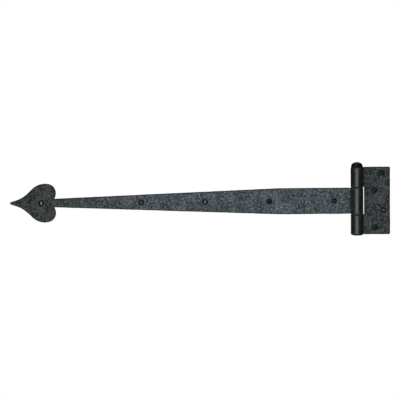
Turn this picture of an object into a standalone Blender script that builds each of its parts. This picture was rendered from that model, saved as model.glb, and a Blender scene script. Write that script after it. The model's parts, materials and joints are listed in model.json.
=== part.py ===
"""Surface-mounted strap (T) hinge in rough black iron, at its real size.

A long tapering strap with a spear-heart finial swings on a captive pin. The pin is held by a slotted
frame leaf, and raised countersunk wood screws go through both leaves.

Units are metres and +Z is up. The origin is the centre of the frame leaf's back face: the fronts face
-Y, the strap runs towards -X, and the frame leaf towards +X. Every leaf is drawn flat around the pin's
axis, which is the local Z axis of an empty, with the leaf's back on the plane y = KNUCKLE_RADIUS.
"""

import math

import bmesh
import bpy
from mathutils import Euler, Vector
from mathutils.geometry import interpolate_bezier

MM = 0.001

# Bar stock and the knuckles rolled from it: a 3/4 in barrel.
LEAF_THICKNESS = 4.7 * MM
BORE_RADIUS = 4.825 * MM
KNUCKLE_RADIUS = BORE_RADIUS + LEAF_THICKNESS
LEAF_FRONT_Y = KNUCKLE_RADIUS - LEAF_THICKNESS
KNUCKLE_CURL = math.radians(297)  # from flat behind the pin round to just short of the leaf's front
KNUCKLE_STEPS = 24
FRONT_BEVEL = 0.9 * MM
BACK_BEVEL = 0.5 * MM

# Strap leaf, measured from the pin's axis.
STRAP_REACH = 523 * MM
STRAP_WIDTH = 39 * MM
EYE_WIDTH = 40.6 * MM  # spread by the rolling
EYE_SPREAD = (2 * MM, 8.5 * MM)  # where the spread starts and ends
STRAP_SHOULDER = 117 * MM  # where the taper starts
STRAP_SCREWS = (34.2 * MM, 132 * MM, 229 * MM, 325.3 * MM, 476 * MM)

# Heart finial: one side's curves as (distance from the tip, distance from the centre line) in mm.
HEART_SIDE = (
    ((0.0, 0.0), (0.0, 0.8), (0.4, 1.3), (1.2, 1.5)),  # blunt tip
    ((1.2, 1.5), (12.4, 5.5), (17.8, 5.7), (30.8, 18.7)),  # hollow flank
    ((30.8, 18.7), (33.3, 21.2), (40.0, 29.1), (52.5, 29.1)),  # swelling to the widest point
    ((52.5, 29.1), (65.0, 29.1), (68.7, 21.0), (68.7, 15.5)),  # round lobe
    ((68.7, 15.5), (68.7, 11.0), (67.4, 9.0), (66.6, 6.2)),  # notch beside the neck
)
HEART_CURVE_STEPS = (3, 9, 8, 9, 4)

# Frame leaf, measured from the pin's axis.
PLATE_HEIGHT = 101.6 * MM
PLATE_REACH = 50 * MM
SLOT_EDGE = 10.9 * MM
KNUCKLE_GAP = 0.3 * MM
SLOT_HEIGHT = EYE_WIDTH + 2 * KNUCKLE_GAP
PLATE_SCREWS = ((38 * MM, 42 * MM), (26 * MM, 15.2 * MM), (40.3 * MM, -14.2 * MM), (27.2 * MM, -40.6 * MM))

# The pin's axis in the part's own frame.
AXIS_X = -(SLOT_EDGE + PLATE_REACH) / 2
AXIS_Y = -KNUCKLE_RADIUS

# Hinge pin.
PIN_RADIUS = BORE_RADIUS - 0.3 * MM
PIN_HEAD_RADIUS = 8.8 * MM
PIN_HEAD_EDGE = 0.5 * MM
PIN_HEAD_RIM = 1.6 * MM
PIN_DOME = 6 * MM
PEEN_RADIUS = 7.6 * MM
PEEN_RIM = 0.4 * MM
PEEN_HEIGHT = 1.2 * MM
SEAT_GAP = 0.3 * MM
PIN_SIDES = 32

# Number 8 wood screw, 1 1/4 in long, with a raised countersunk head and a cross recess.
SCREW_LENGTH = 32 * MM
SCREW_HEAD_RADIUS = 4.2 * MM
SCREW_RAISE = 1.2 * MM
SCREW_RADIUS = 2.1 * MM
SCREW_CORE_RADIUS = 1.5 * MM
SCREW_TIP_RADIUS = 0.2 * MM
SCREW_PITCH = 1.9 * MM
SCREW_POINT = 5 * MM
THREAD_START = 0.9 * MM
NECK_LIFT = 0.5 * MM
SMOOTH_SHANK = 9.5 * MM
SCREW_SIDES = 16
COUNTERSINK_SLOPE = math.tan(math.radians(41))
HEAD_CONE = (SCREW_HEAD_RADIUS - SCREW_RADIUS) / COUNTERSINK_SLOPE
HOLE_CLEARANCE = 0.3 * MM
HOLE_SIDES = 24
RECESS_ARM = 2.5 * MM
RECESS_HALF_WIDTH = 0.52 * MM
RECESS_DEPTH = 2.5 * MM
RECESS_TAPER = 0.3  # the recess floor's size over its mouth's
STRAP_SCREW_TURNS = (72, 38, 22, 130, 0)  # degrees, as the driver left them
PLATE_SCREW_TURNS = (20, 49, 77, 33)

SMOOTH_ANGLE = math.radians(32)
TINY = 1e-6  # metres, for comparing coordinates


def clear_scene():
    for thing in list(bpy.data.objects):
        bpy.data.objects.remove(thing, do_unlink=True)


def material(name, colour, roughness, metallic):
    made = bpy.data.materials.new(name)
    made.use_nodes = True
    shader = made.node_tree.nodes["Principled BSDF"]
    shader.inputs["Base Color"].default_value = (*colour, 1.0)
    shader.inputs["Roughness"].default_value = roughness
    shader.inputs["Metallic"].default_value = metallic
    return made


def add_empty(name, location):
    empty = bpy.data.objects.new(name, None)
    empty.location = location
    bpy.context.scene.collection.objects.link(empty)
    return empty


def add_object(name, mesh, parent=None):
    thing = bpy.data.objects.new(name, mesh)
    thing.parent = parent
    bpy.context.scene.collection.objects.link(thing)
    return thing


def finished_mesh(bm, name):
    mesh = bpy.data.meshes.new(name)
    bmesh.ops.recalc_face_normals(bm, faces=bm.faces)
    bm.to_mesh(mesh)
    bm.free()
    return mesh


def cut_out(mesh, cutter_mesh):
    """A new mesh: mesh less cutter_mesh, both drawn around the same origin."""
    blank = add_object("blank", mesh)
    cutter = add_object("cutter", cutter_mesh)
    cut = blank.modifiers.new("cut", "BOOLEAN")
    cut.operation = "DIFFERENCE"
    cut.solver = "EXACT"
    cut.object = cutter
    evaluated = blank.evaluated_get(bpy.context.evaluated_depsgraph_get())
    result = bpy.data.meshes.new_from_object(evaluated)
    result.name = mesh.name + "_cut"
    bpy.data.objects.remove(blank)
    bpy.data.objects.remove(cutter)
    return result


def finish_surface(mesh, surface):
    mesh.shade_smooth()
    mesh.set_sharp_from_angle(angle=SMOOTH_ANGLE)
    mesh.materials.clear()
    mesh.materials.append(surface)


def ring(bm, radius, z, sides):
    turns = [2 * math.pi * side / sides for side in range(sides)]
    return [bm.verts.new((radius * math.cos(turn), radius * math.sin(turn), z)) for turn in turns]


def bridge_rings(bm, lower, upper):
    sides = len(lower)
    for side in range(sides):
        following = (side + 1) % sides
        bm.faces.new((lower[side], lower[following], upper[following], upper[side]))


def cap(bm, rim, z):
    pole = bm.verts.new((0, 0, z))
    for side, vert in enumerate(rim):
        bm.faces.new((vert, rim[(side + 1) % len(rim)], pole))


def turned(bm, profile, sides):
    """Turns (radius, z) points about Z. The first and last points lie on the axis."""
    rings = [ring(bm, radius, z, sides) for radius, z in profile[1:-1]]
    for lower, upper in zip(rings, rings[1:]):
        bridge_rings(bm, lower, upper)
    cap(bm, rings[0], profile[0][1])
    cap(bm, rings[-1], profile[-1][1])


def dome(radius, base_z, height, steps):
    """(radius, z) of a dome from its rim to its pole; a negative height hangs down."""
    angles = [math.pi / 2 * step / steps for step in range(steps)]
    return [(radius * math.cos(a), base_z + height * math.sin(a)) for a in angles] + [(0, base_z + height)]


# ---- Leaves ----


def heart_side():
    """One side of the heart from its tip to the neck, as (distance from the tip, half width)."""
    points = []
    for curve, steps in zip(HEART_SIDE, HEART_CURVE_STEPS):
        knots = [Vector((along * MM, half * MM, 0)) for along, half in curve]
        points += [(p.x, p.y) for p in interpolate_bezier(*knots, steps + 1)[:-1]]
    along, half = HEART_SIDE[-1][-1]
    return points + [(along * MM, half * MM)]


def strap_outline():
    """(x, z) from the pin's axis along the upper side to the tip, and back along the lower side."""
    spread_start, spread_end = EYE_SPREAD
    upper = [(0, EYE_WIDTH / 2), (-spread_start, EYE_WIDTH / 2)]
    upper += [(-spread_end, STRAP_WIDTH / 2), (-STRAP_SHOULDER, STRAP_WIDTH / 2)]
    upper += [(along - STRAP_REACH, half) for along, half in reversed(heart_side())]
    return upper + [(x, -z) for x, z in reversed(upper[:-1])]


def frame_outline():
    """(x, z) of the frame leaf: a rectangle with the strap's knuckle slotted out of its left edge."""
    half, slot = PLATE_HEIGHT / 2, SLOT_HEIGHT / 2
    upper = [(SLOT_EDGE, slot), (0, slot), (0, half), (PLATE_REACH, half)]
    return upper + [(x, -z) for x, z in reversed(upper)]


def rolled_leaf(name, outline, curl):
    """Cuts a leaf from plate and rolls each edge that lies on the pin's axis round the pin.

    curl is +1 or -1, the sense of the roll about Z.
    """
    bm = bmesh.new()
    back = bm.faces.new([bm.verts.new((x, KNUCKLE_RADIUS, z)) for x, z in outline])
    grown = bmesh.ops.extrude_face_region(bm, geom=[back], use_keep_orig=True)["geom"]
    front = [part for part in grown if isinstance(part, bmesh.types.BMVert)]
    bmesh.ops.translate(bm, verts=front, vec=(0, -LEAF_THICKNESS, 0))

    def on_axis(part):
        return all(abs(vert.co.x) < TINY for vert in part.verts)

    for corners, width in ((list(back.verts), BACK_BEVEL), (front, FRONT_BEVEL)):
        rim = [edge for edge in bm.edges if all(vert in corners for vert in edge.verts)]
        rim = [edge for edge in rim if not on_axis(edge)]
        bmesh.ops.bevel(bm, geom=rim, offset=width, segments=1, affect="EDGES")
    ends = [face for face in bm.faces if on_axis(face)]
    bmesh.ops.spin(
        bm, geom=ends, cent=(0, 0, 0), axis=(0, 0, 1), angle=curl * KNUCKLE_CURL, steps=KNUCKLE_STEPS
    )
    bmesh.ops.delete(bm, geom=[face for face in ends if face.is_valid], context="FACES_ONLY")
    return finished_mesh(bm, name)


def screw_holes(places):
    """Cutters for countersunk through holes, clear of the screws, at (x, z) from the pin's axis."""
    hole = SCREW_RADIUS + HOLE_CLEARANCE
    mouth = SCREW_HEAD_RADIUS + HOLE_CLEARANCE
    beyond = 2 * MM
    profile = [
        (0, beyond),
        (mouth + beyond * COUNTERSINK_SLOPE, beyond),
        (hole, -(mouth - hole) / COUNTERSINK_SLOPE),
        (hole, -LEAF_THICKNESS - beyond),
        (0, -LEAF_THICKNESS - beyond),
    ]
    bm = bmesh.new()
    for x, z in places:
        others = set(bm.verts)
        turned(bm, profile, HOLE_SIDES)
        for vert in set(bm.verts) - others:
            across, up, out = vert.co
            vert.co = (x + across, LEAF_FRONT_Y - out, z + up)
    return finished_mesh(bm, "screw_holes")


# ---- Pin ----


def pin_mesh():
    """The captive pin: a domed head on the top knuckle and a peened end under the bottom one."""
    seat = PLATE_HEIGHT / 2 + SEAT_GAP
    profile = list(reversed(dome(PEEN_RADIUS, -seat - PEEN_RIM, PEEN_RIM - PEEN_HEIGHT, 5)))
    profile += [(PEEN_RADIUS, -seat), (PIN_RADIUS, -seat), (PIN_RADIUS, seat)]
    profile += [(PIN_HEAD_RADIUS - PIN_HEAD_EDGE, seat), (PIN_HEAD_RADIUS, seat + PIN_HEAD_EDGE)]
    profile += dome(PIN_HEAD_RADIUS, seat + PIN_HEAD_RIM, PIN_DOME, 7)
    bm = bmesh.new()
    turned(bm, profile, PIN_SIDES)
    return finished_mesh(bm, "hinge_pin")


# ---- Screws: around the local Z axis, with the leaf's front face at z = 0 ----


def fraction(value, start, end):
    return min(1.0, max(0.0, (value - start) / (end - start)))


def core_radius(z):
    point = fraction(z, -SCREW_LENGTH, SCREW_POINT - SCREW_LENGTH)
    run_out = fraction(z, -SMOOTH_SHANK - SCREW_PITCH, -SMOOTH_SHANK)
    core = SCREW_TIP_RADIUS + (SCREW_CORE_RADIUS - SCREW_TIP_RADIUS) * point
    return core + (SCREW_RADIUS - core) * run_out


def crest_radius(z):
    point = fraction(z, -SCREW_LENGTH, SCREW_POINT - SCREW_LENGTH)
    return SCREW_TIP_RADIUS + (SCREW_RADIUS - SCREW_TIP_RADIUS) * math.sqrt(point)


def add_thread(bm, neck):
    """One ridge swept up from the point: the core's helix, the crest's helix, and the core's again.

    The start and the run-out each end in a small radial face on the plane where the turns begin.
    """
    bottom = THREAD_START - SCREW_LENGTH
    turns = round((-SMOOTH_SHANK - bottom) / SCREW_PITCH) - 1
    rise = (-SMOOTH_SHANK - bottom) / (turns + 1)
    steps = turns * SCREW_SIDES

    def helix(count, lift, radius_at):
        points = []
        for step in range(count + 1):
            turn = 2 * math.pi * step / SCREW_SIDES
            z = bottom + lift + rise * step / SCREW_SIDES
            radius = radius_at(z)
            points.append(bm.verts.new((radius * math.cos(turn), radius * math.sin(turn), z)))
        return points

    core = helix(steps + SCREW_SIDES, 0, core_radius)
    crest = helix(steps, rise / 2, crest_radius)
    for step in range(steps):
        above = step + SCREW_SIDES
        bm.faces.new((core[step], core[step + 1], crest[step + 1], crest[step]))
        bm.faces.new((crest[step], crest[step + 1], core[above + 1], core[above]))
    point = bm.verts.new((0, 0, -SCREW_LENGTH))
    for side in range(SCREW_SIDES):
        bm.faces.new((core[side + 1], core[side], point))
        low, high = core[steps + side], core[steps + side + 1]
        bm.faces.new((low, high, neck[(side + 1) % SCREW_SIDES], neck[side]))
    bm.faces.new((core[0], crest[0], point))
    bm.faces.new((crest[0], core[SCREW_SIDES], point))
    bm.faces.new((crest[-1], core[steps], core[-1]))
    bm.faces.new((core[steps], neck[0], core[-1]))


def cross_recess():
    """The driver's cross: a twelve-sided prism that tapers to its floor."""
    arm, half = RECESS_ARM, RECESS_HALF_WIDTH
    quarter = [Vector((arm, half, 0)), Vector((half, half, 0)), Vector((half, arm, 0))]
    bm = bmesh.new()
    floor = []
    for turn in range(4):
        for corner in quarter:
            corner = corner.copy()
            corner.rotate(Euler((0, 0, turn * math.pi / 2)))
            floor.append(bm.verts.new(corner * RECESS_TAPER + Vector((0, 0, SCREW_RAISE - RECESS_DEPTH))))
    bottom = bm.faces.new(floor)
    grown = bmesh.ops.extrude_face_region(bm, geom=[bottom], use_keep_orig=True)["geom"]
    top = [part for part in grown if isinstance(part, bmesh.types.BMVert)]
    bmesh.ops.scale(bm, verts=top, vec=(1 / RECESS_TAPER, 1 / RECESS_TAPER, 1))
    bmesh.ops.translate(bm, verts=top, vec=(0, 0, RECESS_DEPTH))
    return finished_mesh(bm, "cross_recess")


def screw_mesh():
    bm = bmesh.new()
    neck = ring(bm, SCREW_RADIUS, NECK_LIFT - SMOOTH_SHANK, SCREW_SIDES)
    add_thread(bm, neck)
    profile = [(SCREW_RADIUS, -HEAD_CONE)]
    profile += dome(SCREW_HEAD_RADIUS, 0, SCREW_RAISE, 4)[:-1]
    for radius, z in profile:
        upper = ring(bm, radius, z, SCREW_SIDES)
        bridge_rings(bm, neck, upper)
        neck = upper
    cap(bm, neck, SCREW_RAISE)
    return cut_out(finished_mesh(bm, "wood_screw"), cross_recess())


def add_screws(name, mesh, parent, places, turns):
    for number, ((x, z), turn) in enumerate(zip(places, turns), start=1):
        screw = add_object(f"{name}_{number}", mesh, parent)
        screw.location = (x, LEAF_FRONT_Y, z)
        screw.rotation_euler = (math.pi / 2, math.radians(turn), 0)


# ---- Assembly ----


def build_hinge():
    clear_scene()
    frame = add_empty("frame_on_pin_axis", (AXIS_X, AXIS_Y, 0))
    pivot = add_empty("strap_pivot", (AXIS_X, AXIS_Y, 0))
    strap_places = [(-reach, 0) for reach in STRAP_SCREWS]

    strap = cut_out(rolled_leaf("strap_leaf", strap_outline(), -1), screw_holes(strap_places))
    finish_surface(strap, material("strap_rough_iron", (0.055, 0.062, 0.07), 0.55, 0.6))
    add_object("strap_leaf", strap, pivot)

    plate = cut_out(rolled_leaf("frame_leaf", frame_outline(), 1), screw_holes(PLATE_SCREWS))
    finish_surface(plate, material("frame_rough_iron", (0.04, 0.045, 0.042), 0.55, 0.6))
    add_object("frame_leaf", plate, frame)

    pin = pin_mesh()
    finish_surface(pin, material("smooth_black_iron", (0.02, 0.02, 0.022), 0.38, 0.6))
    add_object("hinge_pin", pin, frame)

    screw = screw_mesh()
    finish_surface(screw, material("black_screw_steel", (0.02, 0.02, 0.021), 0.35, 0.7))
    add_screws("strap_screw", screw, pivot, strap_places, STRAP_SCREW_TURNS)
    add_screws("frame_screw", screw, frame, PLATE_SCREWS, PLATE_SCREW_TURNS)


build_hinge()
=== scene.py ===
"""Looks of the rough-iron strap hinge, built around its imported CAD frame.

The two leaves are rebuilt as dense forged surfaces with rolled, smooth knuckles; the pin and the wood
screws are rebuilt as fine turned pieces. Units are metres. A leaf is drawn flat around the pin's axis:
x runs along it from the axis, z up, and depth goes from its front (0) to its back (LEAF_THICKNESS).
"""

import json
import math

import bmesh
import bpy
import numpy as np
from mathutils import Euler, Matrix, Vector, noise
from mathutils.geometry import delaunay_2d_cdt, interpolate_bezier
from mathutils.kdtree import KDTree


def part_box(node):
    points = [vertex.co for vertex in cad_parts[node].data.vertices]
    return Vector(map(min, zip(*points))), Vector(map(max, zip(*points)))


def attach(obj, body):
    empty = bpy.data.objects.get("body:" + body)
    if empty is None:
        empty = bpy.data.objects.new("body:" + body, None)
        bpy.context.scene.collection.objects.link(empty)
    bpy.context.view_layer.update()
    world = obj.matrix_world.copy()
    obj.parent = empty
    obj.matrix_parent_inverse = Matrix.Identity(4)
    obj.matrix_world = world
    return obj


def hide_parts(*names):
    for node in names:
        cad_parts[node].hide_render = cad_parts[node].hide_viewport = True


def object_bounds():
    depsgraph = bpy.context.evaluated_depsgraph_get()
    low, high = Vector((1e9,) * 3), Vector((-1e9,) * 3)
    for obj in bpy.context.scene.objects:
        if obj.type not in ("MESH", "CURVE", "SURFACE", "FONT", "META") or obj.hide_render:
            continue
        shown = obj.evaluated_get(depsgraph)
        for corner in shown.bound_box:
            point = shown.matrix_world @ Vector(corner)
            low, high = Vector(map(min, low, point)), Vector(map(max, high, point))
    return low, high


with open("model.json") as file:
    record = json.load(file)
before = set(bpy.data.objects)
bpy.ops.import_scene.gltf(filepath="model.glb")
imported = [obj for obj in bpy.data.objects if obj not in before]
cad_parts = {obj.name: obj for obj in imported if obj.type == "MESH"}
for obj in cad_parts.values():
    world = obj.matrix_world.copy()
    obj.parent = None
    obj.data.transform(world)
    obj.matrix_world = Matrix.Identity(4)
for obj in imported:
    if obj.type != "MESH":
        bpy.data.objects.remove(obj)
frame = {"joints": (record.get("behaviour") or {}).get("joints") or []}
cad_low, cad_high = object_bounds()

MM = 0.001
NOISE_SEED = 1  # for the vector noise, which would otherwise start from the clock
AXIS = Vector(frame["joints"][0]["pos_m"])
STRAP_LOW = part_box("strap_leaf")[0]
PLATE_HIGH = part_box("frame_leaf")[1]
PIN_LOW, PIN_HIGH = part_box("hinge_pin")

# Leaves and knuckles.
LEAF_THICKNESS = 4.7 * MM
KNUCKLE_RADIUS = -AXIS.y
BORE_RADIUS = KNUCKLE_RADIUS - LEAF_THICKNESS
KNUCKLE_CURL = math.radians(297)
CURL_STEPS = 72
FRONT_ROUND = 1.4 * MM
BACK_ROUND = 0.9 * MM
SIDE_LEVELS = (0.45, 0.68)  # rings between the two roundings, as shares of the thickness
EDGE_STEP = 0.6 * MM
CORNER_COSINE = 0.5  # the least that a corner's normal is divided by
EAR_STEP = 1.2 * MM
FRONT_STEP = 0.62 * MM
BACK_STEP = 3 * MM
RIM_SPACE = 0.72  # the grid's least distance from a rim, as a share of its step
INSIDE_ONLY = 1  # the triangulation's output type without what lies outside the outline
SAME_POINT = 1e-9
LEAF_SHARP_ANGLE = math.radians(50)

# Hammered edges. The wander and the dents are (height, length) in mm.
SPREAD = 0.2 * MM  # how far hammering pushes the edges out
EDGE_FADE = (9 * MM, 16 * MM)  # from untouched to fully hammered, going away from the pin's axis
LONG_WANDER = (0.16, 15)
SHORT_WANDER = (0.07, 4)
DENTS = (0.12, 3)
DENTS_CLOSER = 2  # how much closer the dents lie through the thickness than along the edge
TIP_LENGTH = 14 * MM  # over which the heart's point takes narrower roundings

# Forged relief, with lengths and heights in mm, before a leaf's own coarseness.
STRAP_TEXTURE = (0.74, 0.9)  # coarseness and patchiness
PLATE_TEXTURE = (0.78, 1.4)
UPRIGHT = 0.8  # below 1, so the features stand taller than they are wide
WINDING = 1.8
WINDING_LENGTH = 5
BLISTER_LENGTH = 3.4
BLISTER_SLOPE = 0.28
BLISTER_HEIGHT = 0.3
FINE_LENGTH = 1.7
FINE_HEIGHT = 0.14
FINE_OFFSET = Vector((31, 7, 5))
GROOVE_LENGTH = 4.6
GROOVE_WIDTH = 0.12
GROOVE_DEPTH = 0.16
GROOVE_OFFSET = Vector((3, 11, 9))
PATCH_LENGTH = 13
MEAN_STRENGTH = 0.9
LEAST_STRENGTH = 0.2
SWELL_LENGTH = 19
SWELL_HEIGHT = 0.16
KNUCKLE_CALM = (5 * MM, 9 * MM)  # from no relief to all of it, going away from the pin's axis
SCREW_CALM = (4.8 * MM, 6.2 * MM)  # and going away from a screw's

# Strap leaf, measured from the pin's axis, and one side of its heart as curves of
# (distance from the tip, distance from the centre line) in mm.
STRAP_REACH = AXIS.x - STRAP_LOW.x
STRAP_HALF = 19.5 * MM
EYE_HALF = 20.4 * MM
EYE_SPREAD = (2 * MM, 8.5 * MM)
STRAP_SHOULDER = 117 * MM
STRAP_SCREWS = [(-reach * MM, 0) for reach in (34.2, 132, 229, 325.3, 476)]
HEART_SIDE = (
    ((0.0, 0.0), (0.0, 0.8), (0.4, 1.3), (1.2, 1.5)),
    ((1.2, 1.5), (12.4, 5.5), (17.8, 5.7), (30.8, 18.7)),
    ((30.8, 18.7), (33.3, 21.2), (40.0, 29.1), (52.5, 29.1)),
    ((52.5, 29.1), (65.0, 29.1), (68.7, 21.0), (68.7, 15.5)),
    ((68.7, 15.5), (68.7, 11.0), (67.4, 9.0), (66.6, 6.2)),
)
HEART_CURVE_POINTS = 33

# Frame leaf, measured from the pin's axis, and the slot for the strap's knuckle.
PLATE_REACH = PLATE_HIGH.x - AXIS.x
PLATE_HALF = PLATE_HIGH.z
PLATE_CORNER = 1.6 * MM
SLOT_EDGE = 11.25 * MM
SLOT_CORNER = 0.6 * MM
KNUCKLE_GAP = 0.06 * MM
SLOT_HALF = EYE_HALF + KNUCKLE_GAP
PLATE_SCREWS = [(x * MM, z * MM) for x, z in ((38, 42), (26, 15.2), (40.3, -14.2), (27.2, -40.6))]
CORNER_STEPS = 6

# Each leaf's own place in the noise, and how far from it the edges take theirs.
STRAP_SEED = 0
PLATE_SEED = 500
EDGE_SEED = 40

# Pin.
SEAT_GAP = 0.1 * MM
PIN_SEAT = PLATE_HALF + SEAT_GAP
PIN_PLAY = 0.3 * MM
PIN_RADIUS = BORE_RADIUS - PIN_PLAY
PIN_HEAD_RADIUS = (PIN_HIGH.x - PIN_LOW.x) / 2
PIN_HEAD_RIM = 1.6 * MM
PIN_HEAD_EDGE = 0.6 * MM
PIN_HEAD_CHAMFER = (0.12 * MM, 0.15 * MM)
PIN_HEAD_STEPS = 18
PIN_SIDES = 72
PIN_ROWS = 12
PIN_SHARP_ANGLE = math.radians(40)
PEEN_RADIUS = 7.6 * MM
PEEN_RIM = 0.4 * MM
PEEN_CHAMFER = 0.1 * MM
PEEN_STEPS = 12
JOINT_SHADE_TOP = 1.2 * MM  # how far from its seats the pin's painted shade fades out

# Screws: around their own z axis, out of the head, with the leaf's front at z = 0.
SCREW_LENGTH = 32 * MM
SCREW_HEAD_RADIUS = 4.2 * MM
SCREW_HEAD_EDGE = 0.05 * MM
SCREW_HEAD_CHAMFER = (0.2 * MM, 0.23 * MM)
SCREW_HEAD_STEPS = 10
SCREW_RAISE = 1.2 * MM
SCREW_RADIUS = 2.1 * MM
SCREW_CORE_RADIUS = 1.5 * MM
SCREW_TIP_RADIUS = 0.2 * MM
SCREW_TIP_STEP = 0.1 * MM
SCREW_PITCH = 1.9 * MM
SCREW_POINT = 5 * MM
THREAD_STEP = 0.2 * MM
THREAD_RIDGE = (0.06, 0.3)  # half widths of the thread's crest and foot, in turns
SMOOTH_SHANK = 9.5 * MM
SCREW_SIDES = 40
SCREW_SHARP_ANGLE = math.radians(38)
HOLE_CLEARANCE = 0.3 * MM
HOLE_MOUTH = SCREW_HEAD_RADIUS + HOLE_CLEARANCE
HOLE_SHANK = SCREW_RADIUS + HOLE_CLEARANCE
HOLE_LIP = 0.15 * MM
HOLE_SIDES = 56
FRONT_MARGIN = 5.05 * MM  # no grid points nearer a hole's axis, on the front
BACK_MARGIN = 3 * MM
COUNTERSINK_SLOPE = math.tan(math.radians(41))
RECESS_ARM = 2.5 * MM
RECESS_HALF_WIDTH = 0.52 * MM
RECESS_FILLET = 1.3  # where the arms' inner corners are cut off, in half widths
RECESS_DEPTH = 2.5 * MM
RECESS_TAPER = 0.3  # the recess floor's size over its mouth's
RECESS_CLEAR = 0.1 * MM
# One recess arm in bright steel: partly the driver's scraping, partly a painted glint.
GLINT_REACH = 0.65  # as a share of the head's radius
GLINT_HALF_WIDTH = 0.8 * MM
GLINT_DEPTHS = (0.06 * MM, 4 * MM)  # from under the head's surface to below its rim
STRAP_SCREW_TURNS = (72, 38, 22, 130, 0)
PLATE_SCREW_TURNS = (20, 49, 77, 33)
# How strongly each screw shows its painted glint.
STRAP_SCREW_GLINT = (0.1, 0.02, 1.0, 0.4, 1.0)
PLATE_SCREW_GLINT = (0.05, 0.1, 0.5, 0.05)

# Colours, as linear red, green and blue.
STRAP_BLUE = (0.097, 0.114, 0.146)
STRAP_GREEN = (0.087, 0.114, 0.117)
STRAP_HOLLOWS = (0.012, 0.017, 0.021)
# The heart's iron: partly its own darker tone, partly painted shade for the front light falling off at the
# strap's end.
HEART_IRON_AND_SHADE = (0.045, 0.058, 0.053)
PLATE_SLATE = (0.049, 0.062, 0.07)
PLATE_MOSS = (0.044, 0.058, 0.053)
DEEP_HOLLOWS = (0.001, 0.002, 0.002)
# Painted shade on the leaves' rounded edges, as if they were turned away from the light.
RIM_SHADE_BLACK = (0.006, 0.007, 0.007)
RECESS_BLACK = (0.006, 0.0065, 0.007)
# Painted shade in the joints between the knuckles and beside the pin's seats.
JOINT_SHADE = (0.002, 0.002, 0.002)
# Steel of the recess arm's painted glint, partly bare scraped steel.
GLINT_STEEL_DIM = (0.5, 0.51, 0.52)
GLINT_STEEL_BRIGHT = (0.85, 0.86, 0.87)
HEART_SHADE_FADE = (-0.36, -0.5)  # x over which the strap takes the heart's darker colours, partly its own tone and partly painted shade
BARREL_FADE = (-0.25, -0.03)  # x over which it turns greener

# Studio. A light is its place from the hinge's middle, its size and its power in watts.
LIGHTS = {
    "front_softbox": ((0, -1.9, 0.03), (1.0, 0.75), 13),
    "top_fill": ((-0.4, -0.9, 1.4), (1.2, 0.8), 6),
    "back_fill": ((0.2, 0.9, 1.5), (1.2, 0.8), 6),
}
LIGHT_COLOUR = (0.91, 0.975, 1.0)
SURROUND_STRENGTH = 0.6
FLOOR_PLACE = (-0.26, 0, -0.45)
FLOOR_RADIUS = 0.6
FLOOR_GREY = 0.86
CAMERA_LENS = 200
CAMERA_SENSOR = 36
CAMERA_ELEVATION = math.radians(3.7)
CAMERA_ROLL = math.radians(-0.46)
CAMERA_AIM_HEIGHT = 3 * MM
HINGE_SHARE = 0.9497  # the hinge's length over the view's width


# ---- Small helpers ----


def smoothstep(low, high, value):
    part = min(1.0, max(0.0, (value - low) / (high - low)))
    return part * part * (3 - 2 * part)


def add_piece(name, mesh, body, replaced):
    piece = bpy.data.objects.new(name, mesh)
    bpy.context.scene.collection.objects.link(piece)
    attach(piece, body)
    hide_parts(replaced)


def mesh_from(name, verts, faces):
    mesh = bpy.data.meshes.new(name)
    mesh.from_pydata(verts, [], faces)
    bm = bmesh.new()
    bm.from_mesh(mesh)
    bmesh.ops.recalc_face_normals(bm, faces=bm.faces)
    bm.to_mesh(mesh)
    bm.free()
    return mesh


def store(mesh, name, values):
    mesh.attributes.new(name, "FLOAT", "POINT").data.foreach_set("value", values)


# ---- Forged relief ----


def groove(place, width):
    """1 on the winding lines where the noise crosses zero, falling to 0 beside them."""
    return 1 - smoothstep(0, width, abs(noise.noise(place)))


def relief(x, z, seed, coarseness, patchiness):
    """Height of the forged skin above the flat leaf, in metres: blisters with grooves between them.

    patchiness says how much rougher some parts are than others.
    """
    place = Vector((x / MM, seed, z / MM * UPRIGHT)) / coarseness
    winding = place + WINDING * noise.noise_vector(place / WINDING_LENGTH)
    blisters = smoothstep(-BLISTER_SLOPE, BLISTER_SLOPE, noise.noise(winding / BLISTER_LENGTH)) - 0.5
    fine = noise.noise(winding / FINE_LENGTH + FINE_OFFSET)
    grooves = groove(winding / GROOVE_LENGTH + GROOVE_OFFSET, GROOVE_WIDTH)
    strength = max(LEAST_STRENGTH, MEAN_STRENGTH + patchiness * noise.noise(place / PATCH_LENGTH))
    swell = noise.noise(place / SWELL_LENGTH)
    height = BLISTER_HEIGHT * blisters + FINE_HEIGHT * fine - GROOVE_DEPTH * grooves
    return (height * strength + SWELL_HEIGHT * swell) * MM


def waves(place, shape):
    """Noise of a given (height, length)."""
    height, length = shape
    return height * noise.noise(place / length)


# ---- Leaves ----


def resampled(points, step):
    """Splits each stretch between two corners into equal lengths no longer than step."""
    made = []
    for start, end in zip(points, points[1:]):
        start, end = np.array(start), np.array(end)
        parts = max(1, math.ceil(np.linalg.norm(end - start) / step))
        made += [start + (end - start) * part / parts for part in range(parts)]
    return np.array(made + [np.array(points[-1])])


def inward(points):
    """Unit normals to the left of an open line, lengthened at corners so that offsets stay parallel."""
    along = np.diff(points, axis=0)
    along /= np.linalg.norm(along, axis=1)[:, None]
    left = np.stack([-along[:, 1], along[:, 0]], axis=1)
    mean = np.vstack([left[:1], left[:-1] + left[1:], left[-1:]])
    mean /= np.linalg.norm(mean, axis=1)[:, None]
    cosine = np.sum(mean * np.vstack([left[:1], left]), axis=1)
    return mean / np.maximum(cosine, CORNER_COSINE)[:, None]


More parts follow.
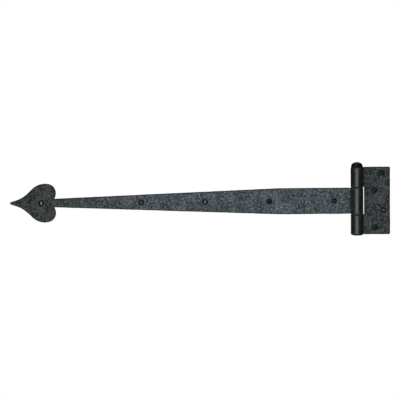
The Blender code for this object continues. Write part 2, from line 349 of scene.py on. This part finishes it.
def rim_levels():
    """(inset, depth) down a leaf's edge, from its rounded front to its rounded back."""
    turns = [math.radians(a) for a in (0, 30, 60, 90)]
    front = [(FRONT_ROUND * (1 - math.sin(a)), FRONT_ROUND * (1 - math.cos(a))) for a in turns]
    back_turns = [math.radians(a) for a in (90, 45, 0)]
    back = [
        (BACK_ROUND * (1 - math.sin(a)), LEAF_THICKNESS - BACK_ROUND * (1 - math.cos(a)))
        for a in back_turns
    ]
    middle = [(0, LEAF_THICKNESS * share) for share in SIDE_LEVELS]
    return front + middle + back


class Leaf:
    """Builds one leaf's mesh from its open contours, which start and end on the pin's axis.

    The contours go anticlockwise round the metal, and each gap between one contour's end and the next
    one's start is an ear that gets rolled round the pin. curl is 1 for a leaf on the pin's left and -1
    for one on its right.
    """

    def __init__(self, contours, holes, curl, seed, texture):
        self.verts, self.faces, self.heights, self.rolled, self.rim = [], [], [], [], []
        self.curl, self.seed, self.texture, self.holes = curl, seed, texture, holes
        self.levels = rim_levels()
        # The left-hand leaf ends in a point.
        self.tip = min(x for contour in contours for x, z in contour) if curl > 0 else -math.inf
        lines = [resampled(contour, EDGE_STEP) for contour in contours]
        self.rings = [self.edge_rings(line) for line in lines]
        following = self.rings[1:] + self.rings[:1]
        self.ears = [self.ear(rings, after) for rings, after in zip(self.rings, following)]
        for rings in self.rings:
            for front, back in zip(rings, rings[1:]):
                self.strip(front, back)
        self.hole_rings = [self.hole(place) for place in holes]
        self.face(0, 0, FRONT_STEP)
        self.face(-1, LEAF_THICKNESS, BACK_STEP)
        for ear in self.ears:
            self.roll(ear)

    def add(self, x, y, z, height, rolled, rim):
        self.verts.append((x, y, z))
        self.heights.append(height)
        self.rolled.append(rolled)
        self.rim.append(rim)
        return len(self.verts) - 1

    def vert(self, x, z, depth, height=0.0, rim=0.0):
        return self.add(x, BORE_RADIUS + depth - height, z, height, 0.0, rim)

    def strip(self, one, other, closed=False):
        pairs = list(zip(one, other))
        if closed:
            pairs.append(pairs[0])
        for (a, b), (c, d) in zip(pairs, pairs[1:]):
            self.faces.append((a, c, d, b))

    def skin(self, x, z):
        """The relief, faded out beside the knuckles and the screws."""
        calm = smoothstep(*KNUCKLE_CALM, abs(x))
        for hole_x, hole_z in self.holes:
            calm *= smoothstep(*SCREW_CALM, math.hypot(x - hole_x, z - hole_z))
        return relief(x, z, self.seed, *self.texture) * calm

    def edge_rings(self, line):
        """The contour's vertices at each level of the rim."""
        normals = inward(line)
        rings = []
        for inset, depth in self.levels:
            flat = smoothstep(FRONT_ROUND, 0, depth)
            # rim sets how much painted shade a vertex takes: full on the edge's walls, half on the roundings'
            # outer rings. Once rolled, these walls become the knuckles' ends.
            rim = 1.0 if 0 < depth < LEAF_THICKNESS else 0.5
            ring = []
            for (x, z), normal in zip(line, normals):
                place = Vector((x / MM, self.seed + EDGE_SEED, z / MM))
                free = smoothstep(*EDGE_FADE, abs(x))
                wander = waves(place, LONG_WANDER) + waves(place, SHORT_WANDER)
                dent = waves(Vector((x / MM, depth / MM * DENTS_CLOSER, z / MM)), DENTS)
                narrow = 0.5 + 0.5 * smoothstep(0, TIP_LENGTH, x - self.tip)
                shift = inset * narrow + ((wander + dent) * MM - SPREAD) * free
                at = (x + normal[0] * shift, z + normal[1] * shift)
                ring.append(self.vert(*at, depth, self.skin(*at) * flat if flat else 0.0, rim))
            rings.append(ring)
        return rings

    def ear(self, rings, after):
        """The loop of vertices on the pin's axis between one contour's end and the next one's start."""
        lines = []
        for level, depth in ((0, 0), (-1, LEAF_THICKNESS)):
            start, end = rings[level][-1], after[level][0]
            low, high = self.verts[start][2], self.verts[end][2]
            parts = math.ceil(abs(high - low) / EAR_STEP)
            between = [self.vert(0, low + (high - low) * part / parts, depth) for part in range(1, parts)]
            lines.append([start, *between, end])
        front, back = lines
        far_wall = [ring[0] for ring in after[1:-1]]
        near_wall = [ring[-1] for ring in rings[1:-1]]
        return {"front": front, "back": back, "loop": front + far_wall + back[::-1] + near_wall[::-1]}

    def hole(self, place):
        """A countersunk hole's rings from its mouth to the leaf's back."""
        levels = [
            (HOLE_MOUTH + HOLE_LIP, 0),
            (HOLE_MOUTH, HOLE_LIP),
            (HOLE_SHANK, (HOLE_MOUTH - HOLE_SHANK) / COUNTERSINK_SLOPE + HOLE_LIP),
            (HOLE_SHANK, LEAF_THICKNESS - HOLE_LIP),
            (HOLE_SHANK + HOLE_LIP, LEAF_THICKNESS),
        ]
        turns = [2 * math.pi * side / HOLE_SIDES for side in range(HOLE_SIDES)]
        rings = []
        for radius, depth in levels:
            ring = []
            for a in turns:
                x, z = place[0] + radius * math.cos(a), place[1] + radius * math.sin(a)
                ring.append(self.vert(x, z, depth))
            rings.append(ring)
        for front, back in zip(rings, rings[1:]):
            self.strip(front, back, closed=True)
        return rings

    def face(self, level, depth, step):
        """Fills the front or the back with triangles between its rim, its holes and a hexagonal grid."""
        front = level == 0
        margin = FRONT_MARGIN if front else BACK_MARGIN
        hole_radius = (HOLE_MOUTH if front else HOLE_SHANK) + HOLE_LIP
        loop = []
        for rings, ear in zip(self.rings, self.ears):
            loop += rings[level] + ear["front" if front else "back"][1:-1]
        mouths = [rings[level] for rings in self.hole_rings]
        rim = loop + [index for mouth in mouths for index in mouth]
        border = np.array([(self.verts[i][0], self.verts[i][2]) for i in loop])
        tree = KDTree(len(rim))
        for number, index in enumerate(rim):
            tree.insert((self.verts[index][0], 0, self.verts[index][2]), number)
        tree.balance()
        inner = []
        for x, z in grid_inside(border, step):
            close = tree.find((x, 0, z))[2] < RIM_SPACE * min(step, EDGE_STEP)
            if not close and all(math.hypot(x - h[0], z - h[1]) > margin for h in self.holes):
                inner.append((x, z))
        flat = [Vector((self.verts[i][0], self.verts[i][2])) for i in rim] + [Vector(p) for p in inner]
        edges = []
        first = len(loop)
        for mouth in mouths:
            count = len(mouth)
            edges += [(first + i, first + (i + 1) % count) for i in range(count)]
            first += count
        outline = [list(range(len(loop)))]
        points, _, triangles, *_ = delaunay_2d_cdt(flat, edges, outline, INSIDE_ONLY, SAME_POINT)
        if len(points) != len(flat):
            raise ValueError(f"the triangulation merged {len(flat) - len(points)} points")
        indices = rim + [self.vert(x, z, depth, self.skin(x, z) if front else 0.0) for x, z in inner]
        for a, b, c in triangles:
            centre = (flat[a] + flat[b] + flat[c]) / 3
            if all((centre - Vector(hole)).length > hole_radius for hole in self.holes):
                self.faces.append((indices[a], indices[b], indices[c]))

    def roll(self, ear):
        """Sweeps the ear's loop round the pin and closes its end."""
        shape = [(self.verts[i][1], self.verts[i][2], self.rim[i]) for i in ear["loop"]]
        previous = ear["loop"]
        for step in range(1, CURL_STEPS + 1):
            turn = KNUCKLE_CURL * step / CURL_STEPS
            ring = []
            for radius, z, rim in shape:
                x, y = self.curl * radius * math.sin(turn), radius * math.cos(turn)
                ring.append(self.add(x, y, z, 0.0, 1.0, rim))
            self.strip(previous, ring, closed=True)
            previous = ring
        self.faces.append(tuple(previous))

    def mesh(self, name):
        placed = [(AXIS.x + x, AXIS.y + y, z) for x, y, z in self.verts]
        mesh = mesh_from(name, placed, self.faces)
        store(mesh, "relief", [height / MM for height in self.heights])
        store(mesh, "rolled", self.rolled)
        store(mesh, "rim", self.rim)
        mesh.shade_smooth()
        mesh.set_sharp_from_angle(angle=LEAF_SHARP_ANGLE)
        return mesh


def grid_inside(border, step):
    """Points of a hexagonal grid inside a closed outline, found row by row."""
    low, high = border.min(axis=0), border.max(axis=0)
    ends = np.roll(border, -1, axis=0)
    rise = step * math.sqrt(3) / 2
    points = []
    for row in range(int((high[1] - low[1]) / rise) + 1):
        z = low[1] + (row + 0.5) * rise
        crosses = (border[:, 1] > z) != (ends[:, 1] > z)
        a, b = border[crosses], ends[crosses]
        cuts = np.sort(a[:, 0] + (z - a[:, 1]) * (b[:, 0] - a[:, 0]) / (b[:, 1] - a[:, 1]))
        xs = np.arange(low[0] + step * (0.25 + 0.5 * (row % 2)), high[0], step)
        inside = np.searchsorted(cuts, xs) % 2 == 1
        points += [(float(x), float(z)) for x in xs[inside]]
    return points


def strap_contour():
    """The strap leaf's outline, from the eye's top edge round the heart to its bottom edge."""
    side = []
    for curve in HEART_SIDE:
        knots = [Vector((along * MM, half * MM, 0)) for along, half in curve]
        points = interpolate_bezier(*knots, HEART_CURVE_POINTS)[:-1]
        side += [(point.x - STRAP_REACH, point.y) for point in points]
    along, half = HEART_SIDE[-1][-1]
    side.append((along * MM - STRAP_REACH, half * MM))
    spread_start, spread_end = EYE_SPREAD
    upper = [(0, EYE_HALF), (-spread_start, EYE_HALF), (-spread_end, STRAP_HALF)]
    upper += [(-STRAP_SHOULDER, STRAP_HALF)] + side[::-1]
    return upper + [(x, -z) for x, z in upper[-2::-1]]


def corner(x, z, radius, first, last):
    """A rounded corner round the point (x, z), turning from the first to the last angle in degrees."""
    parts = [step / CORNER_STEPS for step in range(CORNER_STEPS + 1)]
    turns = [math.radians(first + (last - first) * part) for part in parts]
    return [(x + radius * math.cos(a), z + radius * math.sin(a)) for a in turns]


def plate_contours():
    """The frame leaf's outer outline and its slot's."""
    x, z = PLATE_REACH - PLATE_CORNER, PLATE_HALF - PLATE_CORNER
    outer = corner(x, -z, PLATE_CORNER, -90, 0) + corner(x, z, PLATE_CORNER, 0, 90)
    x, z = SLOT_EDGE - SLOT_CORNER, SLOT_HALF - SLOT_CORNER
    slot = corner(x, z, SLOT_CORNER, 90, 0) + corner(x, -z, SLOT_CORNER, 0, -90)
    return [
        [(0, -PLATE_HALF), *outer, (0, PLATE_HALF)],
        [(0, SLOT_HALF), *slot, (0, -SLOT_HALF)],
    ]


# ---- Turned pieces ----


def turned(name, profile, sides, radius_at=None):
    """Turns (radius, z) points about Z; the first and last lie on the axis.

    radius_at(radius, z, turn) may change the radius round a ring, for a thread.
    """
    verts = [(0, 0, profile[0][1])]
    faces = []
    for radius, z in profile[1:-1]:
        for side in range(sides):
            turn = 2 * math.pi * side / sides
            reach = radius_at(radius, z, turn) if radius_at else radius
            verts.append((reach * math.cos(turn), reach * math.sin(turn), z))
    verts.append((0, 0, profile[-1][1]))
    rows = len(profile) - 2
    for side in range(sides):
        following = (side + 1) % sides
        faces.append((0, 1 + following, 1 + side))
        for row in range(rows - 1):
            low, high = 1 + row * sides, 1 + (row + 1) * sides
            faces.append((low + side, low + following, high + following, high + side))
        last = 1 + (rows - 1) * sides
        faces.append((last + side, last + following, len(verts) - 1))
    return mesh_from(name, verts, faces)


def dome(radius, base, height, steps):
    """(radius, z) of a dome from its rim to its pole; a negative height hangs down."""
    turns = [math.pi / 2 * step / steps for step in range(steps + 1)]
    return [(radius * math.cos(a), base + height * math.sin(a)) for a in turns]


def pin_mesh():
    """The pin: peened end, shank, and a domed head on a rim."""
    radius, seat = PIN_HEAD_RADIUS, PIN_SEAT
    inset, rise = PIN_HEAD_CHAMFER
    profile = dome(PEEN_RADIUS, -seat - PEEN_RIM, PIN_LOW.z + seat + PEEN_RIM, PEEN_STEPS)[::-1]
    profile += [(PEEN_RADIUS, -seat - PEEN_CHAMFER), (PEEN_RADIUS - PEEN_CHAMFER, -seat), (PIN_RADIUS, -seat)]
    profile += [(PIN_RADIUS, -seat * (1 - 2 * row / PIN_ROWS)) for row in range(1, PIN_ROWS + 1)]
    profile += [(radius - PIN_HEAD_EDGE, seat), (radius - inset, seat + rise), (radius, seat + PIN_HEAD_EDGE)]
    profile += dome(radius, seat + PIN_HEAD_RIM, PIN_HIGH.z - seat - PIN_HEAD_RIM, PIN_HEAD_STEPS)
    mesh = turned("hinge_pin_turned", profile, PIN_SIDES)
    # Painted shade: the pin darkens beside its seats, in the creases against the knuckles.
    joint_shade = [1 - smoothstep(PIN_HEAD_EDGE, JOINT_SHADE_TOP, abs(v.co.z) - seat) for v in mesh.vertices]
    store(mesh, "rim", joint_shade)
    for vert in mesh.vertices:
        vert.co.x += AXIS.x
        vert.co.y += AXIS.y
    mesh.shade_smooth()
    mesh.set_sharp_from_angle(angle=PIN_SHARP_ANGLE)
    return mesh


def thread_radius(radius, z, turn):
    """The thread's ridge on the shank, running out at the point and into the smooth neck."""
    if z > -SMOOTH_SHANK:
        return radius
    phase = (z / SCREW_PITCH - turn / (2 * math.pi)) % 1.0
    ridge = 1 - smoothstep(*THREAD_RIDGE, abs(phase - 0.5))
    point = min(1.0, max(0.0, (z + SCREW_LENGTH) / SCREW_POINT))
    core = SCREW_TIP_RADIUS + (SCREW_CORE_RADIUS - SCREW_TIP_RADIUS) * point
    crest = SCREW_TIP_RADIUS + (SCREW_RADIUS - SCREW_TIP_RADIUS) * math.sqrt(point)
    smooth = smoothstep(-SMOOTH_SHANK - SCREW_PITCH, -SMOOTH_SHANK, z)
    return core + (crest - core) * max(ridge, smooth)


def cross_recess():
    """The driver's cross as a cutter: its arms taper to a floor in the head, and it stands clear above."""
    half, inner = RECESS_HALF_WIDTH, RECESS_FILLET * RECESS_HALF_WIDTH
    bm = bmesh.new()
    floor = []
    for turn in range(4):
        spin = Euler((0, 0, turn * math.pi / 2))
        for x, y in ((RECESS_ARM, half), (inner, half), (half, inner), (half, RECESS_ARM)):
            place = Vector((x, y, 0))
            place.rotate(spin)
            floor.append(bm.verts.new(place * RECESS_TAPER + Vector((0, 0, SCREW_RAISE - RECESS_DEPTH))))
    bottom = bm.faces.new(floor)
    grown = bmesh.ops.extrude_face_region(bm, geom=[bottom], use_keep_orig=True)["geom"]
    top = [part for part in grown if isinstance(part, bmesh.types.BMVert)]
    bmesh.ops.scale(bm, verts=top, vec=(1 / RECESS_TAPER, 1 / RECESS_TAPER, 1))
    bmesh.ops.translate(bm, verts=top, vec=(0, 0, RECESS_DEPTH + RECESS_CLEAR))
    bmesh.ops.recalc_face_normals(bm, faces=bm.faces)
    mesh = bpy.data.meshes.new("cross_recess")
    bm.to_mesh(mesh)
    bm.free()
    return mesh


def screw_mesh():
    """One wood screw: threaded shank, countersunk cone, raised head and cross recess."""
    rows = int((SCREW_LENGTH - SMOOTH_SHANK) / THREAD_STEP)
    profile = [(0, -SCREW_LENGTH)]
    profile += [(SCREW_RADIUS, -SCREW_LENGTH + SCREW_TIP_STEP + THREAD_STEP * row) for row in range(rows)]
    cone = (SCREW_HEAD_RADIUS - SCREW_RADIUS) / COUNTERSINK_SLOPE
    profile += [(SCREW_RADIUS, -SMOOTH_SHANK + SCREW_TIP_STEP), (SCREW_RADIUS, -cone)]
    inset, drop = SCREW_HEAD_CHAMFER
    profile += [(SCREW_HEAD_RADIUS - inset, -drop), (SCREW_HEAD_RADIUS, -SCREW_HEAD_EDGE)]
    profile += dome(SCREW_HEAD_RADIUS, SCREW_HEAD_EDGE, SCREW_RAISE - SCREW_HEAD_EDGE, SCREW_HEAD_STEPS)
    blank = bpy.data.objects.new("blank", turned("wood_screw", profile, SCREW_SIDES, thread_radius))
    cutter = bpy.data.objects.new("cutter", cross_recess())
    for thing in (blank, cutter):
        bpy.context.scene.collection.objects.link(thing)
    cut = blank.modifiers.new("recess", "BOOLEAN")
    cut.operation = "DIFFERENCE"
    cut.solver = "EXACT"
    cut.object = cutter
    depsgraph = bpy.context.evaluated_depsgraph_get()
    mesh = bpy.data.meshes.new_from_object(blank.evaluated_get(depsgraph))
    for thing in (blank, cutter):
        bpy.data.objects.remove(thing)
    mesh.shade_smooth()
    mesh.set_sharp_from_angle(angle=SCREW_SHARP_ANGLE)
    return mesh


def mark_glint_arm(mesh):
    """Gives the second material to one arm of the recess: coating scraped by the driver, and a painted glint.
    """
    least, most = GLINT_DEPTHS
    for face in mesh.polygons:
        x, y, z = face.center
        out = math.hypot(x, y) / SCREW_HEAD_RADIUS
        surface = SCREW_RAISE * math.sqrt(max(0.0, 1 - out * out))
        inside = out < GLINT_REACH and -most < z < surface - least
        face.material_index = 1 if inside and abs(x) < GLINT_HALF_WIDTH else 0


def add_screws(prefix, body, places, turns, glint_wear, surfaces):
    """One leaf's screws. turns are in degrees, and the last list sets how brightly each recess arm shows its
    painted glint of scraped steel.
    """
    made = screw_mesh()
    made.materials.clear()
    for surface in surfaces:
        made.materials.append(surface)
    mark_glint_arm(made)
    for number, ((x, z), turn, worn) in enumerate(zip(places, turns, glint_wear), start=1):
        mesh = made.copy()
        spin = Euler((math.pi / 2, math.radians(turn), 0)).to_matrix().to_4x4()
        spin.translation = (AXIS.x + x, AXIS.y + BORE_RADIUS, z)
        mesh.transform(spin)
        store(mesh, "glint_wear", [worn] * len(mesh.vertices))
        add_piece(f"{prefix}_{number}_turned", mesh, body, f"{prefix}_{number}")


# ---- Materials ----


def new_material(name):
    material = bpy.data.materials.new(name)
    material.use_nodes = True
    nodes, links = material.node_tree.nodes, material.node_tree.links
    return material, nodes, links, nodes["Principled BSDF"]


def noise_node(nodes, links, coordinates, scale, detail, roughness=0.5):
    node = nodes.new("ShaderNodeTexNoise")
    node.inputs["Scale"].default_value = scale
    node.inputs["Detail"].default_value = detail
    node.inputs["Roughness"].default_value = roughness
    links.new(coordinates, node.inputs["Vector"])
    return node.outputs["Fac"]


def ramp(nodes, links, value, *stops):
    """A colour ramp between two (position, colour) stops."""
    node = nodes.new("ShaderNodeValToRGB")
    for element, (position, colour) in zip(node.color_ramp.elements, stops):
        element.position = position
        element.color = (*colour, 1)
    links.new(value, node.inputs["Fac"])
    return node.outputs["Color"]


def mapped(nodes, links, value, old, new):
    """The value taken from one (low, high) range to another, and held there beyond its ends."""
    node = nodes.new("ShaderNodeMapRange")
    for name, number in zip(("From Min", "From Max", "To Min", "To Max"), (*old, *new)):
        node.inputs[name].default_value = number
    links.new(value, node.inputs["Value"])
    return node.outputs["Result"]


def mixed(nodes, links, factor, one, other, blend="MIX"):
    """Mixes two colours; each of the three values is a number, a colour or another node's output."""
    node = nodes.new("ShaderNodeMix")
    node.data_type = "RGBA"
    node.blend_type = blend
    factor_socket, one_socket, other_socket = (node.inputs[i] for i in (0, 6, 7))
    for socket, value in ((factor_socket, factor), (one_socket, one), (other_socket, other)):
        if isinstance(value, (int, float)):
            socket.default_value = value
        elif isinstance(value, tuple):
            socket.default_value = (*value, 1)
        else:
            links.new(value, socket)
    return node.outputs[2]


def bumped(nodes, links, height, shader, distance, strength):
    node = nodes.new("ShaderNodeBump")
    node.inputs["Distance"].default_value = distance
    node.inputs["Strength"].default_value = strength
    links.new(height, node.inputs["Height"])
    links.new(node.outputs["Normal"], shader.inputs["Normal"])


def attribute(nodes, name):
    node = nodes.new("ShaderNodeAttribute")
    node.attribute_name = name
    return node.outputs["Fac"]


def rough_iron(name, high, low, tint):
    """Blackened forged skin: lighter worn heights, dark hollows, edges darkened with painted shade, and a
    patchy tint.

    The strap gets the tint towards the barrel, and turns darker at the heart, partly its own tone and partly
    painted shade where the front light falls off.
    """
    material, nodes, links, shader = new_material(name)
    place = nodes.new("ShaderNodeTexCoord").outputs["Object"]
    along = nodes.new("ShaderNodeSeparateXYZ")
    links.new(place, along.inputs["Vector"])
    to_heart_shade = mapped(nodes, links, along.outputs["X"], HEART_SHADE_FADE, (0, 1))
    to_barrel = mapped(nodes, links, along.outputs["X"], BARREL_FADE, (0, 0.5))
    patches = noise_node(nodes, links, place, scale=45, detail=3)
    worn = mixed(nodes, links, mapped(nodes, links, patches, (0.38, 0.62), (0, 1)), high, tint)
    worn = mixed(nodes, links, to_barrel, worn, tint)
    # Partly painted shade: the heart's iron and hollows darken towards the strap's end.
    worn = mixed(nodes, links, to_heart_shade, worn, HEART_IRON_AND_SHADE)
    hollows = mixed(nodes, links, to_heart_shade, low, DEEP_HOLLOWS)
    exposed = mapped(nodes, links, attribute(nodes, "relief"), (-0.2, 0.2), (0, 1))
    colour = mixed(nodes, links, exposed, hollows, worn)
    blotches = noise_node(nodes, links, place, scale=400, detail=3, roughness=0.6)
    shade = ramp(nodes, links, blotches, (0.38, (0.5, 0.5, 0.5)), (0.62, (1.5, 1.5, 1.5)))
    colour = mixed(nodes, links, 1.0, colour, shade, "MULTIPLY")
    # Painted shade: the edges darken towards near black.
    rim = mapped(nodes, links, attribute(nodes, "rim"), (0, 1), (0, 0.85))
    colour = mixed(nodes, links, rim, colour, RIM_SHADE_BLACK)
    links.new(colour, shader.inputs["Base Color"])
    shader.inputs["Metallic"].default_value = 0.15
    shader.inputs["Specular IOR Level"].default_value = 0.4
    grain = noise_node(nodes, links, place, scale=900, detail=4, roughness=0.65)
    links.new(mapped(nodes, links, grain, (0.3, 0.75), (0.44, 0.6)), shader.inputs["Roughness"])
    bumped(nodes, links, grain, shader, distance=0.12 * MM, strength=0.5)
    return material


def black_coating(name, dark, light, patches, roughness, gloss):
    """Satin black coating, rubbed lighter in patches, with a faint orange peel, and painted shade darkening
    the marked rims where the knuckles and the pin meet.
    """
    material, nodes, links, shader = new_material(name)
    place = nodes.new("ShaderNodeTexCoord").outputs["Object"]
    cloud = noise_node(nodes, links, place, scale=patches, detail=3)
    peel = noise_node(nodes, links, place, scale=1400, detail=2)
    base = ramp(nodes, links, cloud, (0.35, dark), (0.7, light))
    # Painted shade: the marked rims darken to near black and turn matt.
    joint_shade = attribute(nodes, "rim")
    links.new(mixed(nodes, links, joint_shade, base, JOINT_SHADE), shader.inputs["Base Color"])
    rough = mapped(nodes, links, cloud, (0.3, 0.7), (roughness - 0.03, roughness + 0.05))
    links.new(mixed(nodes, links, joint_shade, rough, (1.0, 1.0, 1.0)), shader.inputs["Roughness"])
    shader.inputs["Specular IOR Level"].default_value = gloss
    bumped(nodes, links, peel, shader, distance=0.03 * MM, strength=0.35)
    return material


def glinting_worn_steel(name):
    """Grey steel on a recess arm, partly coating scraped by the driver and partly a painted glint; the stored
    attribute says how much of it shows.
    """
    material, nodes, links, shader = new_material(name)
    place = nodes.new("ShaderNodeTexCoord").outputs["Object"]
    scratches = noise_node(nodes, links, place, scale=2500, detail=2)
    steel = ramp(nodes, links, scratches, (0.35, GLINT_STEEL_DIM), (0.65, GLINT_STEEL_BRIGHT))
    colour = mixed(nodes, links, attribute(nodes, "glint_wear"), RECESS_BLACK, steel)
    links.new(colour, shader.inputs["Base Color"])
    shader.inputs["Metallic"].default_value = 0.3
    shader.inputs["Roughness"].default_value = 0.4
    return material


def give_leaf(mesh, skin, smooth):
    """The forged skin on the flat leaf and the smooth coating on the rolled knuckles."""
    mesh.materials.append(skin)
    mesh.materials.append(smooth)
    rolled = np.zeros(len(mesh.vertices))
    mesh.attributes["rolled"].data.foreach_get("value", rolled)
    for face in mesh.polygons:
        if min(rolled[i] for i in face.vertices) > 0.5:
            face.material_index = 1


# ---- Stage ----


def add_floor():
    """A pale round floor, well under the hinge."""
    bm = bmesh.new()
    bmesh.ops.create_circle(bm, cap_ends=True, radius=FLOOR_RADIUS, segments=96)
    mesh = bpy.data.meshes.new("floor")
    bm.to_mesh(mesh)
    bm.free()
    floor = bpy.data.objects.new("floor", mesh)
    floor.location = FLOOR_PLACE
    bpy.context.scene.collection.objects.link(floor)
    material, _, _, shader = new_material("pale_floor")
    shader.inputs["Base Color"].default_value = (FLOOR_GREY, FLOOR_GREY, FLOOR_GREY, 1)
    shader.inputs["Roughness"].default_value = 0.9
    mesh.materials.append(material)


def add_light(name, target, offset, size, power):
    """A rectangular softbox offset from its target and turned to it, which the camera doesn't see."""
    data = bpy.data.lights.new(name, "AREA")
    data.color = LIGHT_COLOUR
    data.shape = "RECTANGLE"
    data.size, data.size_y = size
    data.energy = power
    light = bpy.data.objects.new(name, data)
    light.location = target + Vector(offset)
    light.rotation_euler = (-Vector(offset)).to_track_quat("-Z", "Y").to_euler()
    light.visible_camera = False
    bpy.context.scene.collection.objects.link(light)


def add_world():
    """A white surround that lights softly from all round, while gloss reflects the softboxes alone."""
    world = bpy.data.worlds.new("studio")
    world.use_nodes = True
    nodes, links = world.node_tree.nodes, world.node_tree.links
    seen = nodes.new("ShaderNodeLightPath").outputs["Is Camera Ray"]
    nodes["Background"].inputs["Color"].default_value = (1, 1, 1, 1)
    strength = mapped(nodes, links, seen, (0, 1), (SURROUND_STRENGTH, 1))
    links.new(strength, nodes["Background"].inputs["Strength"])
    world.cycles_visibility.glossy = False
    bpy.context.scene.world = world


def add_camera():
    """A long lens from the front and a few degrees above, rolled by about half a degree."""
    data = bpy.data.cameras.new("camera")
    data.lens = CAMERA_LENS
    data.sensor_width = CAMERA_SENSOR
    distance = (cad_high.x - cad_low.x) / HINGE_SHARE * data.lens / data.sensor_width
    aim = Vector(((cad_low.x + cad_high.x) / 2, AXIS.y + BORE_RADIUS, CAMERA_AIM_HEIGHT))
    offset = Vector((0, -math.cos(CAMERA_ELEVATION), math.sin(CAMERA_ELEVATION)))
    camera = bpy.data.objects.new("camera", data)
    camera.location = aim + distance * offset
    look = Euler((math.pi / 2 - CAMERA_ELEVATION, 0, 0)).to_matrix()
    camera.rotation_euler = (look @ Matrix.Rotation(CAMERA_ROLL, 3, "Z")).to_euler()
    bpy.context.scene.collection.objects.link(camera)
    bpy.context.scene.camera = camera


# ---- Make it ----


def main():
    noise.seed_set(NOISE_SEED)
    bpy.context.scene.view_settings.view_transform = "Standard"
    strap = Leaf([strap_contour()], STRAP_SCREWS, 1, STRAP_SEED, STRAP_TEXTURE).mesh("strap_leaf_forged")
    plate = Leaf(plate_contours(), PLATE_SCREWS, -1, PLATE_SEED, PLATE_TEXTURE).mesh("frame_leaf_forged")
    knuckle = black_coating(
        "knuckle_black",
        dark=(0.005, 0.006, 0.0065),
        light=(0.01, 0.011, 0.012),
        patches=120,
        roughness=0.43,
        gloss=1.0,
    )
    give_leaf(strap, rough_iron("strap_iron", STRAP_BLUE, STRAP_HOLLOWS, STRAP_GREEN), knuckle)
    give_leaf(plate, rough_iron("frame_iron", PLATE_SLATE, DEEP_HOLLOWS, PLATE_MOSS), knuckle)
    add_piece("strap_leaf_forged", strap, "strap", "strap_leaf")
    add_piece("frame_leaf_forged", plate, "frame", "frame_leaf")

    pin = pin_mesh()
    pin_black = black_coating(
        "pin_black",
        dark=(0.002, 0.003, 0.003),
        light=(0.006, 0.007, 0.007),
        patches=120,
        roughness=0.42,
        gloss=0.2,
    )
    pin.materials.append(pin_black)
    add_piece("hinge_pin_turned", pin, "frame", "hinge_pin")

    screw_black = black_coating(
        "screw_black",
        dark=(0.001, 0.002, 0.002),
        light=(0.015, 0.018, 0.019),
        patches=320,
        roughness=0.45,
        gloss=0.2,
    )
    # The second surface is the recess arm's painted glint.
    surfaces = screw_black, glinting_worn_steel("screw_worn_glint")
    add_screws("strap_screw", "strap", STRAP_SCREWS, STRAP_SCREW_TURNS, STRAP_SCREW_GLINT, surfaces)
    add_screws("frame_screw", "frame", PLATE_SCREWS, PLATE_SCREW_TURNS, PLATE_SCREW_GLINT, surfaces)

    middle = Vector(((cad_low.x + cad_high.x) / 2, 0, 0))
    for name, (offset, size, power) in LIGHTS.items():
        add_light(name, middle, offset, size, power)
    add_floor()
    add_world()
    add_camera()


main()
